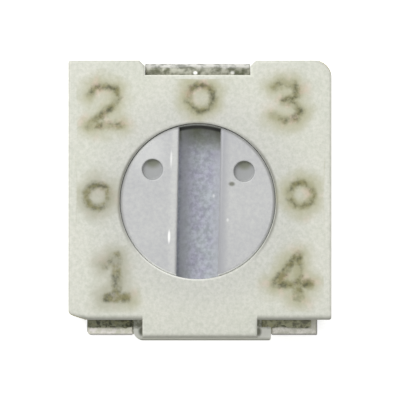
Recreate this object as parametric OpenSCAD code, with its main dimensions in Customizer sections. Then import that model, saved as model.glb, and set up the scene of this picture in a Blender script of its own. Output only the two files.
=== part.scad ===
// Surface-mount trimmer potentiometer: 5 mm square, single turn, set with a screwdriver from the top.
// The origin lies on the rotor's axis, at the level of the circuit board. +Z is up, +Y points to terminal 2,
// and terminals 1 and 3 leave the opposite edge, on the left and the right of a lug.

/* [Housing] */
// Width of the housing across its two plain sides
body_w = 5.0; // [4.9:0.1:5.6]
// Distance from the rotor's axis to the middle of that width, towards terminal 3
axis_shift = 0.04; // [0:0.01:0.1]
// Distance from the rotor's axis to the back edge, over terminal 2
axis_to_back = 2.68; // [2.64:0.04:3]
// Distance from the rotor's axis to the front edge, over terminals 1 and 3
axis_to_front = 2.25; // [2.2:0.05:2.5]
// Thickness of the roof round the rotor
roof_t = 0.66; // [0.66:0.02:0.9]
// Thickness of the two side walls, beside the pocket for the substrate
side_wall = 0.38; // [0.32:0.02:0.42]
// Thickness of the front wall, in front of that pocket
front_wall = 0.28; // [0.24:0.02:0.34]
// Thickness of the back wall, between that pocket and the notch
back_wall = 0.43; // [0.37:0.02:0.47]
// Distance that the lug stands out of the front edge
lug_out = 0.34; // [0.2:0.05:0.5]
// Depth of the notch in the back edge, over terminal 2
notch_deep = 0.28; // [0.26:0.02:0.4]
// Clearance between terminal 2 and each side of the notch
notch_gap = 0.02; // [0.01:0.01:0.1]
// Chamfer at the two mouths of the notch
notch_chamfer = 0.1; // [0.04:0.02:0.16]
// Radius of the large corner, at the back on the right
back_corner_r = 0.32; // [0.1:0.02:0.5]
// Radius of the front corner on the left
front_corner_r = 0.1; // [0.06:0.02:0.2]
// Length of the slope that eases the front corner on the left
corner_slope_l = 0.33; // [0.2:0.01:0.4]
// Fall of that slope along its length
corner_slope_d = 0.11; // [0.04:0.01:0.14]
// Radius of the small corners
small_corner_r = 0.05; // [0.03:0.01:0.1]

/* [Base] */
// Gap between the circuit board and the underside of the base
standoff = 0.1; // [0.06:0.02:0.14]
// Thickness of the base
base_t = 0.6; // [0.5:0.05:0.8]
// Distance that the foot of the lug, on the base, stands out in front of the lug
lug_foot_out = 0.05; // [0.02:0.01:0.12]
// Distance that the foot of the lug stands out beside the lug, towards terminal 1
lug_foot_left = 0.17; // [0.1:0.01:0.3]
// Distance that the foot of the lug stands out beside the lug, towards terminal 3
lug_foot_right = 0.26; // [0.1:0.01:0.3]
// Gap between the foot of the lug and the terminal on each side of it
lug_foot_gap = 0.01; // [0.01:0.01:0.1]
// Radius of that foot's corner on the left
lug_foot_r = 0.19; // [0.08:0.01:0.24]
// Thickness of the epoxy seam between base and housing
seam_t = 0.02; // [0.01:0.01:0.04]

/* [Ceramic element] */
// Thickness of the ceramic substrate
substrate_t = 0.4; // [0.3:0.05:0.6]
// Clearance between the substrate and the pocket that holds it
pocket_gap = 0.02; // [0.01:0.01:0.04]
// Thickness of the printed films
film_t = 0.02; // [0.01:0.01:0.04]
// Mean radius of the resistive track
track_r = 1.2; // [1.15:0.01:1.25]
// Width of the resistive track
track_w = 0.5; // [0.4:0.02:0.54]
// Angle that the resistive track covers, in degrees
track_turn = 230; // [200:5:240]
// Radius of the half-round castellations that the end terminals are soldered through
castellation_r = 0.2; // [0.14:0.02:0.24]
// Height of a solder joint over its pad
solder_h = 0.08; // [0.04:0.02:0.1]
// Width of the solder's rim round a castellation
solder_rim = 0.08; // [0.04:0.02:0.1]

/* [Rotor] */
// Diameter of the rotor's face
rotor_d = 2.9; // [2.6:0.05:3]
// Gap between the rotor's face and the edge of the hole in the roof
rotor_gap = 0.05; // [0.03:0.01:0.08]
// Depth of the rotor's face below the top of the housing
rotor_sink = 0.03; // [0.01:0.01:0.06]
// Width of the screwdriver slot
slot_w = 0.8; // [0.5:0.05:0.9]
// Depth of the screwdriver slot
slot_deep = 0.56; // [0.4:0.02:0.58]
// Diameter of the two dimples in the rotor's face
dimple_d = 0.41; // [0.2:0.01:0.5]
// Depth of the two dimples
dimple_deep = 0.08; // [0.04:0.01:0.12]
// Distance of the dimples from the rotor's axis
dimple_at = 1.05; // [0.9:0.05:1.1]
// Angle between each dimple and the back end of the slot, in degrees
dimple_turn = 56; // [50:1:70]
// Thickness of the rotor's flange
flange_t = 0.25; // [0.2:0.01:0.4]
// Distance that the stop tab stands out of the flange
tab_out = 0.14; // [0.1:0.01:0.16]
// Angle that the stop tab covers, in degrees
tab_turn = 40; // [24:2:44]
// Angle that the rotor turns between its stops, in degrees
rotor_turn = 270; // [240:5:275]
// Angle of the slot from mid-travel as stored, in degrees, clockwise from above where it is negative
rest_turn = -1.5; // [-20:0.5:20]
// Thickness of the sealing ring
ring_d = 0.3; // [0.2:0.02:0.32]

/* [Wiper] */
// Thickness of the wiper's sheet
wiper_t = 0.06; // [0.04:0.01:0.08]
// Height of the wiper's plate over the printed films
wiper_drop = 0.3; // [0.26:0.01:0.36]
// Width of the wiper's plate
plate_w = 1.9; // [1.8:0.05:2]
// Length of a finger from its root to the line that it presses on
finger_l = 0.5; // [0.46:0.01:0.54]
// Width of a finger
finger_w = 0.13; // [0.08:0.01:0.15]
// Outer radius of the curl under a finger's tip
curl_r = 0.12; // [0.1:0.01:0.14]
// Number of fingers that press on the track
track_fingers = 4; // [2:1:4]
// Number of fingers that press on the collector
collector_fingers = 2; // [1:1:3]
// Distance between the middles of two fingers
finger_pitch = 0.19; // [0.17:0.01:0.21]
// Diameter of the two studs that carry the wiper
stud_d = 0.26; // [0.2:0.02:0.3]
// Distance of each stud from the wiper's middle line
stud_at = 0.62; // [0.55:0.01:0.66]
// Diameter of a stud's upset head
head_d = 0.42; // [0.34:0.02:0.46]
// Thickness of a stud's upset head
head_t = 0.07; // [0.04:0.01:0.1]

/* [Terminals] */
// Thickness of the terminals' strip
lead_t = 0.15; // [0.1:0.01:0.18]
// Inner radius of the terminals' bends
bend_r = 0.06; // [0.04:0.01:0.08]
// Width of terminals 1 and 3
end_lead_w = 0.87; // [0.7:0.01:0.9]
// Distance from the left side of the housing to terminal 1
left_inset = 0.36; // [0.25:0.01:0.38]
// Distance from the right side of the housing to terminal 3
right_inset = 0.27; // [0.25:0.01:0.31]
// Straight length of terminals 1 and 3 between the front edge and the first bend
end_lead_out = 0.08; // [0.02:0.01:0.14]
// Length by which terminals 1 and 3 reach in under the substrate
end_lead_under = 0.5; // [0.4:0.02:0.6]
// Width of terminal 2
mid_lead_w = 2.0; // [1.4:0.02:2.2]
// Straight length of terminal 2 between the floor of the notch and the first bend
mid_lead_out = 0.01; // [0.01:0.01:0.04]
// Length of the broad root of terminal 2 inside the base
mid_lead_root = 0.5; // [0.4:0.02:0.6]
// Width of the tail that carries the collector
tail_w = 0.8; // [0.6:0.05:1]
// Diameter of the collector, which is drawn up out of the tail
collector_d = 0.7; // [0.6:0.02:0.76]
// Length of each terminal from its outer face to the end of its foot
foot_l = 0.6; // [0.5:0.02:0.8]
// Depth of the notches that lock terminals 1 and 3 in the base
lock_deep = 0.08; // [0.04:0.01:0.12]

/* [Hidden] */
$fn = 96;

// Clearances that can't be seen from outside
run_gap = 0.01;
hole_gap = 0.03;
foot_gap = 0.02;
stop_gap = 0.5;
// Length by which a cutter passes the face that it cuts
past = 0.2;

// Levels over the circuit board, from the bottom up
base_top = standoff + base_t;
lead_bottom = base_top - lead_t;
housing_bottom = base_top + seam_t;
substrate_top = base_top + substrate_t;
film_top = substrate_top + film_t;
solder_top = film_top + solder_h;
wiper_bottom = film_top + wiper_drop;
flange_bottom = wiper_bottom + wiper_t;
flange_top = flange_bottom + flange_t;
chamber_top = flange_top + run_gap;
gland_top = flange_top + ring_d + run_gap;
housing_top = gland_top + roof_t;
rotor_top = housing_top - rotor_sink;

// Radii about the rotor's axis
neck_r = rotor_d / 2;
flange_r = neck_r + ring_d;
tab_r = flange_r + tab_out;
bore_r = neck_r + rotor_gap;
gland_r = flange_r + run_gap;
stop_r = flange_r + 2 * run_gap;
chamber_r = tab_r + rotor_gap;
track_in = track_r - track_w / 2;
track_out = track_r + track_w / 2;
collector_r = collector_d / 2;
collector_wall = 0.12;
solder_r = castellation_r + solder_rim;

// Angles on either side of mid-travel
comb_w = (track_fingers - 1) * finger_pitch + finger_w;
tab_half = tab_turn / 2;
stop_half = 180 - rotor_turn / 2 - tab_half - stop_gap;
track_half = track_turn / 2;
pad_half = rotor_turn / 2 + asin(comb_w / 2 / track_r) + 1;

// Edges of the body, of the pocket and of the substrate, and places of the terminals
left_x = axis_shift - body_w / 2;
right_x = axis_shift + body_w / 2;
notch_y = axis_to_back - notch_deep;
pocket_w = body_w - 2 * side_wall;
pocket_front = front_wall - axis_to_front;
pocket_back = notch_y - back_wall;
substrate_front = pocket_front + pocket_gap;
end_lead_in = axis_to_front + substrate_front + end_lead_under;
outer_r = bend_r + lead_t;
lug_foot_y = -axis_to_front - lug_out - lug_foot_out;
foot_left_x = left_x + left_inset + end_lead_w + lug_foot_gap;
foot_right_x = right_x - right_inset - end_lead_w - lug_foot_gap;
lug_left_x = foot_left_x + lug_foot_left;
lug_right_x = foot_right_x - lug_foot_right;
pad_tail_half = solder_r + 0.06;

// The wiper's plate, from its rear bar forward to the comb
window_w = 1.1;
window_y = -finger_l;
comb_y = track_r - finger_l;
rear_bar = 0.6;
front_bar = 0.3;
plate_corner_r = 0.15;

function from_back(r, turn) = [-r * sin(turn), r * cos(turn)];

// Middle of terminal 1 on the left, where side is -1, or of terminal 3 on the right
function end_lead_x(side) =
    side < 0 ? left_x + left_inset + end_lead_w / 2 : right_x - right_inset - end_lead_w / 2;

function castellation(side) = [end_lead_x(side), substrate_front];

// Wedge of a circle between two angles, counted anticlockwise from the back
module sector(r, from, to) {
    steps = 6;
    intersection() {
        circle(r);
        polygon(concat([[0, 0]], [for (i = [0:steps]) from_back(2 * r, from + (to - from) * i / steps)]));
    }
}

module ring_part(r_in, r_out, from, to) {
    difference() {
        sector(r_out, from, to);
        circle(r_in);
    }
}

// Waste outside a rounded corner at the origin, on a plate that fills the side of +X and +Y; the edge along
// X may fall away by an angle
module corner_waste(r, fall = 0) {
    middle = [r, r * (1 - sin(fall)) / cos(fall)];
    difference() {
        polygon([
            [-past, middle.y], middle, middle - (r + past) * [sin(fall), cos(fall)], [-past, -past]
        ]);
        translate(middle) circle(r);
    }
}

// Outline that the housing and the base share, seen from above, without the lug
module body_outline() {
    difference() {
        translate([left_x, -axis_to_front]) square([body_w, axis_to_front + axis_to_back]);
        notch();
        translate([left_x, axis_to_back]) mirror([0, 1]) corner_waste(small_corner_r);
        translate([right_x, axis_to_back]) rotate(180) corner_waste(back_corner_r);
        translate([right_x, -axis_to_front]) mirror([1, 0]) corner_waste(small_corner_r);
        translate([left_x, corner_slope_d - axis_to_front]) sloped_corner();
    }
}

module notch() {
    half_w = mid_lead_w / 2 + notch_gap;
    translate([-half_w, notch_y]) square([2 * half_w, notch_deep + past]);
    for (side = [-1, 1])
        translate([side * half_w, axis_to_back]) rotate(45) square(notch_chamfer * sqrt(2), center = true);
}

module sloped_corner() {
    corner_waste(front_corner_r, atan2(corner_slope_d, corner_slope_l));
    polygon([
        [-past, 0], [0, 0], [corner_slope_l, -corner_slope_d], [corner_slope_l, -corner_slope_d - past],
        [-past, -corner_slope_d - past]
    ]);
}

module housing_outline() {
    body_outline();
    translate([lug_left_x, -axis_to_front - lug_out]) square([lug_right_x - lug_left_x, lug_out + past]);
}

module base_outline() {
    body_outline();
    difference() {
        translate([foot_left_x, lug_foot_y])
            square([foot_right_x - foot_left_x, past - axis_to_front - lug_foot_y]);
        translate([foot_left_x, lug_foot_y]) corner_waste(lug_foot_r);
        translate([foot_right_x, lug_foot_y]) mirror([1, 0]) corner_waste(small_corner_r);
    }
}

// Plan of the pocket for the substrate, or of what lies in it with a gap all round
module pocket_outline(gap = 0) {
    translate([axis_shift - pocket_w / 2 + gap, pocket_front + gap])
        square([pocket_w - 2 * gap, pocket_back - pocket_front - 2 * gap]);
}

// Moulded cover: a roof with the rotor's hole, the sealing ring's gland under it, the chamber that the flange
// turns in with the rib that stops its tab, and the pocket that holds the substrate
module housing() {
    color([0.85, 0.85, 0.79]) difference() {
        translate([0, 0, housing_bottom]) linear_extrude(housing_top - housing_bottom) housing_outline();
        translate([0, 0, gland_top - past]) cylinder(r = bore_r, h = roof_t + 2 * past);
        translate([0, 0, chamber_top - past]) cylinder(r = gland_r, h = gland_top - chamber_top + past);
        rotor_chamber();
        translate([0, 0, housing_bottom - past])
            linear_extrude(substrate_top - housing_bottom + past) pocket_outline();
        for (side = [-1, 1]) solder_relief(side);
    }
}

module rotor_chamber() {
    translate([0, 0, substrate_top - past]) linear_extrude(chamber_top - substrate_top + past)
        difference() {
            circle(chamber_r);
            ring_part(stop_r, chamber_r + past, 180 - stop_half, 180 + stop_half);
        }
}

// Room over a solder joint and the pad that leads to it
module solder_relief(side) {
    translate([0, 0, substrate_top - past]) linear_extrude(solder_top - substrate_top + past + run_gap)
        intersection() {
            pocket_outline();
            pad_tail(side, pad_tail_half + pocket_gap);
        }
}

// Moulded floor with the terminals let into its upper face and pockets for their feet below
module base() {
    color([0.82, 0.82, 0.76]) difference() {
        translate([0, 0, standoff]) linear_extrude(base_t) base_outline();
        translate([0, 0, lead_bottom]) linear_extrude(lead_t + past) {
            mid_lead_plan();
            for (side = [-1, 1]) end_lead_plan(side);
        }
        translate([0, notch_y, 0]) foot_pocket(mid_lead_w, mid_lead_out);
        for (side = [-1, 1])
            translate([end_lead_x(side), -axis_to_front, 0])
                rotate(180) foot_pocket(end_lead_w, end_lead_out);
    }
}

// Pocket under the base for the foot of a lead that comes out of a wall at y = 0 towards +Y
module foot_pocket(w, straight) {
    wide = w + 2 * foot_gap;
    long = foot_l - straight - outer_r + foot_gap;
    translate([-wide / 2, -long, standoff - past])
        cube([wide, long + past, lead_t + foot_gap - standoff + past]);
}

// Line of epoxy that seals the housing to the base and over the terminals
module epoxy_seam() {
    color([0.72, 0.68, 0.55]) translate([0, 0, base_top]) linear_extrude(seam_t) difference() {
        housing_outline();
        pocket_outline();
    }
}

// Plan of terminal 1 or 3 in its channel, with a locking notch in each edge near the inner end
module end_lead_plan(side) {
    neck_l = 0.14;
    tip_l = 0.14;
    translate([end_lead_x(side), -axis_to_front]) difference() {
        translate([-end_lead_w / 2, -past]) square([end_lead_w, end_lead_in + past]);
        for (edge = [-1, 1])
            translate([edge * end_lead_w / 2, end_lead_in - tip_l - neck_l / 2])
                square([2 * lock_deep, neck_l], center = true);
    }
}

// Plan of terminal 2 in its channel: the broad root at the notch, the tail, and the ring of the collector
module mid_lead_plan() {
    translate([-mid_lead_w / 2, notch_y - mid_lead_root]) square([mid_lead_w, mid_lead_root + past]);
    translate([-tail_w / 2, 0]) square([tail_w, notch_y]);
    circle(max(tail_w, collector_d + 2 * collector_wall) / 2);
}

// Side view of a lead outside the body: straight out of the wall at y = 0, down, and back under the base
module j_profile(straight) {
    down_y = straight + outer_r;
    difference() {
        union() {
            translate([-past, lead_bottom]) square([straight + past, lead_t]);
            translate([down_y - lead_t, outer_r]) square([lead_t, base_top - 2 * outer_r]);
            for (z = [outer_r, base_top - outer_r]) translate([straight, z]) circle(outer_r);
            translate([down_y - foot_l, 0]) square([foot_l - outer_r, lead_t]);
        }
        for (z = [outer_r, base_top - outer_r]) translate([straight, z]) circle(bend_r);
        translate([straight - outer_r - past, lead_t])
            square([outer_r + past, base_top - 2 * lead_t]);
        translate([straight - past, outer_r]) square([past + bend_r, base_top - 2 * outer_r]);
    }
}

// A lead of width w that leaves a wall at y = 0 towards +Y and stands on the circuit board
module j_lead(w, straight) {
    intersection() {
        rotate([90, 0, 90]) linear_extrude(w, center = true) j_profile(straight);
        union() {
            translate([-w, 0, lead_t]) cube([2 * w, straight + outer_r + past, base_top]);
            translate([-w, -foot_l, 0]) cube([2 * w, 2 * foot_l + past, lead_t]);
        }
    }
}

module end_terminal(side) {
    color([0.78, 0.78, 0.76]) {
        translate([end_lead_x(side), -axis_to_front, 0])
            rotate(180) j_lead(end_lead_w, end_lead_out);
        translate([0, 0, lead_bottom]) linear_extrude(lead_t) intersection() {
            end_lead_plan(side);
            translate([-body_w, -axis_to_front]) square([2 * body_w, axis_to_front]);
        }
    }
}

module terminal_1() {
    end_terminal(-1);
}

module terminal_3() {
    end_terminal(1);
}

// Terminal of the wiper: its tail runs to the middle, where the drawn collector rises through the substrate
module terminal_2() {
    color([0.78, 0.78, 0.76]) difference() {
        union() {
            translate([0, notch_y, 0]) j_lead(mid_lead_w, mid_lead_out);
            translate([0, 0, lead_bottom]) linear_extrude(lead_t) intersection() {
                mid_lead_plan();
                translate([-body_w, -body_w]) square([2 * body_w, body_w + notch_y]);
            }
            translate([0, 0, lead_bottom]) cylinder(r = collector_r, h = film_top - lead_bottom);
        }
        translate([0, 0, lead_bottom - past])
            cylinder(r = collector_r - collector_wall, h = film_top - collector_wall - lead_bottom + past);
    }
}

module substrate_outline() {
    difference() {
        pocket_outline(pocket_gap);
        for (side = [-1, 1]) translate(castellation(side)) circle(castellation_r);
    }
}

// Alumina plate with a hole for the collector and a half-round castellation over each end terminal
module substrate() {
    color([0.93, 0.93, 0.9]) translate([0, 0, base_top]) linear_extrude(substrate_t) difference() {
        substrate_outline();
        circle(collector_r + hole_gap);
    }
}

// Cermet film that the comb of the wiper runs on
module resistive_track() {
    color([0.16, 0.15, 0.15]) translate([0, 0, substrate_top]) linear_extrude(film_t)
        ring_part(track_in, track_out, -track_half, track_half);
}

// Strip from the ring of the track out to a castellation, and on past it
module pad_tail(side, half_w) {
    to = castellation(side);
    rotate(atan2(to.y, to.x) - 90) translate([-half_w, track_r]) square([2 * half_w, norm(to)]);
}

// Conductor film from one end of the track to its castellation
module end_pad(side) {
    color([0.75, 0.74, 0.7]) translate([0, 0, substrate_top]) linear_extrude(film_t) {
        mirror([side > 0 ? 1 : 0, 0]) ring_part(track_in, track_out, track_half, pad_half);
        intersection() {
            substrate_outline();
            pad_tail(side, pad_tail_half);
        }
    }
}

module end_pad_1() {
    end_pad(-1);
}

module end_pad_3() {
    end_pad(1);
}

// Solder that fills a castellation from the terminal up, and ends in a low dome on the pad
module solder_joint(side) {
    dome_r = (solder_r * solder_r + solder_h * solder_h) / (2 * solder_h);
    color([0.7, 0.7, 0.68]) translate(castellation(side)) intersection() {
        union() {
            translate([0, 0, base_top]) cylinder(r = castellation_r, h = film_top - base_top);
            translate([0, 0, film_top]) rotate_extrude() intersection() {
                translate([0, solder_h - dome_r]) circle(dome_r);
                square([solder_r, solder_h]);
            }
        }
        translate([-solder_r, 0, 0]) cube([2 * solder_r, 2 * solder_r, housing_top]);
    }
}

module solder_joint_1() {
    solder_joint(-1);
}

module solder_joint_3() {
    solder_joint(1);
}

// Moulded rotor: a slotted face on a neck, the flange with its stop tab, and two studs that hold the wiper
module rotor() {
    color([0.78, 0.78, 0.78]) rotate(rest_turn) {
        difference() {
            translate([0, 0, flange_bottom]) union() {
                cylinder(r = neck_r, h = rotor_top - flange_bottom);
                linear_extrude(flange_t) {
                    circle(flange_r);
                    sector(tab_r, -tab_half, tab_half);
                }
            }
            translate([-slot_w / 2, -rotor_d, rotor_top - slot_deep])
                cube([slot_w, 2 * rotor_d, slot_deep + past]);
            for (side = [-1, 1])
                translate(concat(from_back(dimple_at, side * dimple_turn), rotor_top - dimple_deep))
                    cylinder(d = dimple_d, h = dimple_deep + past);
        }
        for (side = [-1, 1]) translate([side * stud_at, window_y - rear_bar / 2, 0]) stud();
    }
}

// Stud through the wiper's plate, with its end upset to a head
module stud() {
    translate([0, 0, wiper_bottom]) cylinder(d = stud_d, h = wiper_t);
    translate([0, 0, wiper_bottom - head_t]) cylinder(d1 = head_d - head_t, d2 = head_d, h = head_t);
}

// Silicone ring between the neck, the flange and the roof, flattened where it bears on them
module sealing_ring() {
    squeeze = 1.12;
    color([0.55, 0.25, 0.18]) translate([0, 0, flange_top + ring_d / 2]) rotate_extrude()
        translate([neck_r + ring_d / 2, 0]) intersection() {
            circle(d = ring_d * squeeze);
            square(ring_d, center = true);
        }
}

// Stamped contact spring: a plate with short fingers down to the collector inside its window, and a comb of
// fingers down to the track at its front edge
module wiper() {
    color([0.8, 0.68, 0.4]) rotate(rest_turn) translate([0, 0, wiper_bottom]) {
        linear_extrude(wiper_t) wiper_plate();
        translate([0, window_y, 0]) finger_row(collector_fingers);
        translate([0, comb_y, 0]) finger_row(track_fingers);
    }
}

module wiper_plate() {
    plate_l = comb_y - window_y + rear_bar;
    inset = 2 * plate_corner_r;
    difference() {
        translate([0, comb_y - plate_l / 2]) {
            square([plate_w, plate_l - inset], center = true);
            square([plate_w - inset, plate_l], center = true);
            for (x = [-1, 1], y = [-1, 1])
                translate([x * (plate_w - inset) / 2, y * (plate_l - inset) / 2]) circle(plate_corner_r);
        }
        translate([-window_w / 2, window_y]) square([window_w, comb_y - front_bar - window_y]);
        for (side = [-1, 1])
            translate([side * stud_at, window_y - rear_bar / 2]) circle(d = stud_d + 2 * run_gap);
    }
}

module finger_row(count) {
    for (i = [0:count - 1]) translate([(i - (count - 1) / 2) * finger_pitch, 0, 0]) finger();
}

// A finger that leaves the plate at y = 0, slopes down to the film, and curls up past the line it presses on
module finger() {
    root = 0.05;
    tip_turn = 55;
    middle = [finger_l, run_gap + curl_r - wiper_drop];
    reach = norm(middle);
    slope = asin(curl_r / reach) - atan2(middle.y, middle.x);
    into_curl = [sin(slope), cos(slope)];
    bend = wiper_t * tan(slope / 2);
    rotate([90, 0, 90]) linear_extrude(finger_w, center = true) {
        polygon([
            [-root, wiper_t], [-root, 0], [0, 0], middle - curl_r * into_curl,
            middle + (curl_r - wiper_t / 2) * [sin(10 - slope), -cos(10 - slope)],
            middle - (curl_r - wiper_t) * into_curl, [bend, wiper_t]
        ]);
        translate(middle) ring_part(curl_r - wiper_t, curl_r, 180 - slope, 180 + tip_turn);
    }
}

housing();
base();
epoxy_seam();
terminal_1();
terminal_2();
terminal_3();
substrate();
resistive_track();
end_pad_1();
end_pad_3();
solder_joint_1();
solder_joint_3();
rotor();
sealing_ring();
wiper();
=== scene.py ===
"""Looks of a surface-mount trimmer potentiometer, seen straight from above on a pale table.

Sizes are in millimetres on the frame's own axes: the rotor's axis is at x = y = 0, the circuit board is at
z = 0, and +Y points to terminal 2, which is the top of the picture.
"""
import math

import bmesh
import bpy
import numpy as np
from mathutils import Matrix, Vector
from mathutils.geometry import delaunay_2d_cdt


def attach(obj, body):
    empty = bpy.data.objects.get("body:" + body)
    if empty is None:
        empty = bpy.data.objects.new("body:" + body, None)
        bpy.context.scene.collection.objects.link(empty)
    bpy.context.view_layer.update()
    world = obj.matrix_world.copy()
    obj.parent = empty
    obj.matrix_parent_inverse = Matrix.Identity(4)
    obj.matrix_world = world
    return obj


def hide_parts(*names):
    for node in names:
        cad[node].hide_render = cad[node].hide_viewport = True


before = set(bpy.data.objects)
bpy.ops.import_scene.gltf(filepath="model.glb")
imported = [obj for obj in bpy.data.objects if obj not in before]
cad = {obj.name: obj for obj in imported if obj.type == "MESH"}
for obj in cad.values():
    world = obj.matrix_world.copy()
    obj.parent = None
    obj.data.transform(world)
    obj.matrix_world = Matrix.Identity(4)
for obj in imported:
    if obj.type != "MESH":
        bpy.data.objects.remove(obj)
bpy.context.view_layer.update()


# Housing: the cover, moulded in a pale grey-green plastic. Its edges are eased by the mould, and the hole
# for the rotor goes down to the sealing ring's gland and the flange's chamber. A dial is printed on its top
# in black ink that has worn to olive and bled a brown stain into the plastic.
MM = 0.001
CENTRE_X = 0.04
LEFT, RIGHT, FRONT, BACK = -2.46, 2.54, -2.25, 2.68
NOTCH_HALF, NOTCH_FLOOR, NOTCH_CHAMFER = 1.006, 2.40, 0.10
LUG_LEFT, LUG_RIGHT, LUG_FRONT = -1.05, 1.13, -2.59
CORNER_R, BACK_RIGHT_R, LUG_R, SLOPE_X, SLOPE_Y, SLOPE_R = 0.05, 0.36, 0.02, 0.38, 0.13, 0.10
HOUSING_BOTTOM, HOUSING_TOP, HOUSING_EDGE = 0.72, 2.70, 0.05
BORE_R, BORE_EDGE, BORE_MIDDLE = 1.4795, 0.045, (0.0, 0.004)
GLAND_R, CHAMBER_R, STOP_R, STOP_HALF = 1.76, 1.94, 1.77, 24.5
GLAND_TOP, CHAMBER_TOP, POCKET_TOP, ROOM_TOP, ROOM_HALF = 2.04, 1.74, 1.10, 1.21, 0.36
POCKET_HALF_X, POCKET_HALF_Y, ROOM_CLEAR, ROOM_FAR = 2.12, 1.97, 0.0005, 3.0
SOLDER_JOINTS = [(1.835, -1.95), (-1.665, -1.95)]
PRINT_STEP, PRINT_REACH, LOOSE_STEP, EDGE_CLEAR, BORE_CLEAR = 0.020, 0.16, 0.085, 0.03, 0.07
HEM = 0.15  # width of the narrow strips beside a rounded edge, as a share of its radius
# Lines of each number on the dial, in a box one high that is centred on its middle
DIAL_STROKES = {
    "1": [[(-0.24, 0.28), (0.04, 0.50), (0.04, -0.50)], [(-0.20, -0.50), (0.28, -0.50)]],
    "2": [[(-0.34, 0.26), (-0.25, 0.43), (0.02, 0.50), (0.28, 0.42), (0.34, 0.21), (0.20, -0.02),
           (-0.38, -0.50), (0.40, -0.50)]],
    "3": [[(-0.32, 0.40), (-0.08, 0.50), (0.18, 0.47), (0.32, 0.29), (0.22, 0.10), (-0.06, 0.03)],
          [(-0.06, 0.03), (0.24, -0.04), (0.38, -0.24), (0.26, -0.44), (-0.04, -0.50), (-0.36, -0.38)]],
    "4": [[(0.16, -0.50), (0.16, 0.50), (-0.40, -0.20), (0.42, -0.20)]],
}
# Number, middle and height of the four numbers, and middle and radius of the three rings between them
DIAL_NUMBERS = [("1", (-1.574, -1.430), 0.80), ("2", (-1.774, 1.821), 0.76), ("3", (1.679, 1.893), 0.72),
                ("4", (1.787, -1.411), 0.78)]
DIAL_RINGS = [((-1.901, 0.095), 0.218), ((0.061, 1.967), 0.245), ((1.967, 0.133), 0.225)]


def rgb(red, green, blue):
    """Colour from the 0 to 255 values that a screen shows."""
    shares = [v / 255 for v in (red, green, blue)]
    return tuple(s / 12.92 if s < 0.0404 else ((s + 0.055) / 1.055) ** 2.4 for s in shares) + (1,)


def circle(r, at=(0, 0), start=0.0, end=360.0, step=1.5):
    """Points along a circle or an arc of it, anticlockwise, in degrees from +X."""
    count = max(2, round(abs(end - start) / step))
    whole = abs(end - start) >= 360
    turns = [math.radians(start + (end - start) * i / count) for i in range(count if whole else count + 1)]
    return [(at[0] + r * math.cos(t), at[1] + r * math.sin(t)) for t in turns]


def outline(corners, step=6.0):
    """Closed outline, anticlockwise, through corners given as (x, y) or, where rounded, (x, y, radius)."""
    points = []
    for i, corner in enumerate(corners):
        here, before, after = (Vector(corners[k % len(corners)][:2]) for k in (i, i - 1, i + 1))
        if len(corner) == 2:
            points.append(tuple(here))
            continue
        to_before, to_after = (before - here).normalized(), (after - here).normalized()
        half = to_before.angle(to_after) / 2
        middle = here + (to_before + to_after).normalized() * corner[2] / math.sin(half)
        first = here + to_before * corner[2] / math.tan(half) - middle
        last = here + to_after * corner[2] / math.tan(half) - middle
        turn = math.atan2(first.x * last.y - first.y * last.x, first.dot(last))
        count = max(3, round(math.degrees(abs(turn)) / step))
        for k in range(count + 1):
            a = turn * k / count
            points.append((middle.x + first.x * math.cos(a) - first.y * math.sin(a),
                           middle.y + first.x * math.sin(a) + first.y * math.cos(a)))
    return points


def inset(loop, by):
    """The same loop drawn in towards its own inside by a distance, or out where that is negative."""
    moved = []
    for i, here in enumerate(loop):
        before, after = loop[i - 1], loop[(i + 1) % len(loop)]
        a = Vector((here[0] - before[0], here[1] - before[1])).normalized()
        b = Vector((after[0] - here[0], after[1] - here[1])).normalized()
        along = (Vector((-a.y, a.x)) + Vector((-b.y, b.x)))
        reach = by * 2 / max(along.length_squared, 0.6)
        moved.append((here[0] + along.x * reach, here[1] + along.y * reach))
    return moved


def rim(loop, z, r, steps=4, side=1):
    """Loops and levels of a rounded edge that ends in a flat face at z; side is -1 round a hole in it."""
    at = loop if callable(loop) else lambda by: inset(loop, by)
    hem = HEM * r
    rows = [(at(0), z - r - hem)]
    for k in range(steps + 1):
        a = math.pi / 2 * k / steps
        rows.append((at(side * r * (1 - math.cos(a))), z - r * (1 - math.sin(a))))
    rows.append((at(side * (r + hem)), z))
    return rows


def inside_plan(points, plan):
    """Whether each point lies inside a closed outline."""
    x, y = points[:, 0], points[:, 1]
    hit = np.zeros(len(points), bool)
    for (x0, y0), (x1, y1) in zip(plan, plan[1:] + plan[:1]):
        if y0 != y1:
            hit ^= ((y0 > y) != (y1 > y)) & (x < (x1 - x0) * (y - y0) / (y1 - y0) + x0)
    return hit


def solid(name, stacks, flats, merge=0.00003):
    """Closed mesh from stacks of loops at their levels, joined by walls, and flat faces between loops."""
    bm = bmesh.new()
    for stack in stacks:
        rows = [[bm.verts.new((x * MM, y * MM, z * MM)) for x, y in loop] for loop, z in stack]
        for low, high in zip(rows, rows[1:]):
            for i in range(len(low)):
                bm.faces.new((low[i - 1], low[i], high[i], high[i - 1]))
    for z, loops, inside in flats:
        points, edges = [], []
        for loop in loops:
            first, size = len(points), len(loop)
            points += loop
            edges += [(first + i, first + (i + 1) % size) for i in range(size)]
        points = [Vector(p) for p in points + list(inside)]
        at, _, faces, *_ = delaunay_2d_cdt(points, edges, [], 0, 1e-6, False)
        middles = np.array(at)[np.array(faces)].mean(1)
        kept = np.logical_xor.reduce([inside_plan(middles, loop) for loop in loops])
        made = [bm.verts.new((p.x * MM, p.y * MM, z * MM)) for p in at]
        for face in np.array(faces)[kept]:
            bm.faces.new([made[i] for i in face])
    bmesh.ops.remove_doubles(bm, verts=bm.verts, dist=merge * MM)
    bmesh.ops.recalc_face_normals(bm, faces=bm.faces)
    return finished_mesh(name, bm)


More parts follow.
